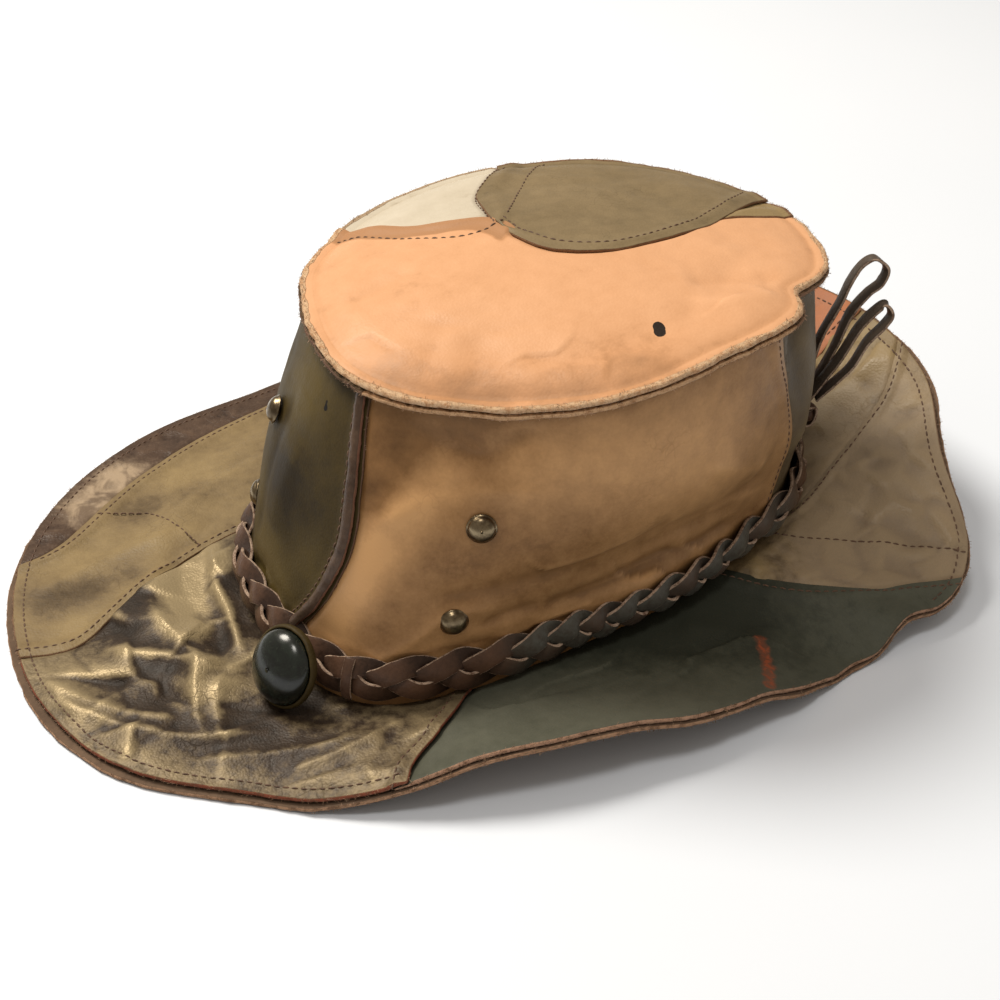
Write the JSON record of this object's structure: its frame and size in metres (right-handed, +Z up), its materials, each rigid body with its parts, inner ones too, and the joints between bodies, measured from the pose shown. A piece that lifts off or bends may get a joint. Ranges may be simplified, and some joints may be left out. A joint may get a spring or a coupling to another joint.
{
  "type": "patchwork leather hat",
  "caption": "Patchwork leather bush hat: flat-topped oval crown sewn from leather panels, wide uneven brim, braided band with a polished stone, dome studs and a thong bow.",
  "frame": {"origin": "middle of the hat's box in plan, on the surface that the brim rests on", "axes": "+Z up through the crown, -Y towards the stone at the front of the band, +X towards the side with the two studs"},
  "size_m": [0.2816, 0.345, 0.1261],
  "materials": {
    "peach_leather": "smooth natural leather, lightly creased, satin",
    "cream_leather": "smooth off-white leather, matt",
    "taupe_leather": "smooth olive-taupe leather, mottled, satin",
    "khaki_leather": "crinkled khaki leather, matt to satin",
    "tan_leather": "mottled tan leather, satin, darkened by handling",
    "grey_leather": "grey-taupe leather, matt",
    "brown_leather": "dark brown crinkled leather, glossy",
    "olive_leather": "dark olive leather, soft sheen",
    "bronze_leather": "bronze-finished leather, strongly wrinkled, metallic sheen",
    "slate_leather": "slate grey-green leather, matt",
    "rust_leather": "rust-coloured leather, matt",
    "facing_suede": "raw flesh side of leather, suede",
    "braid_leather": "dark brown braided leather strips with pale cut edges",
    "stone": "polished black-green stone",
    "antique_brass": "dull antique brass"
  },
  "bodies": {
    "root": {"tip_peach": "peach_leather", "tip_cream": "cream_leather", "tip_olive": "taupe_leather", "tip_khaki": "khaki_leather", "side_tan": "tan_leather", "side_grey": "grey_leather", "side_brown": "brown_leather", "side_khaki": "khaki_leather", "side_olive": "olive_leather", "front_seam_welt": "brown_leather", "brim_slate": "slate_leather", "brim_khaki_lower": "khaki_leather", "brim_khaki_upper": "khaki_leather", "brim_rust": "rust_leather", "brim_brown": "brown_leather", "brim_khaki_left": "khaki_leather", "brim_dark_edge": "brown_leather", "brim_bronze": "bronze_leather", "brim_facing": "facing_suede", "braided_band": "braid_leather", "band_keeper": "braid_leather", "stone": "stone", "stone_setting": "braid_leather", "stud_tan_high": "antique_brass", "stud_tan_low": "antique_brass", "stud_olive_high": "antique_brass", "stud_olive_low": "antique_brass", "tie_knot": "braid_leather", "tie_loop_large": "braid_leather", "tie_loop_small": "braid_leather"}
  },
  "joints": []
}
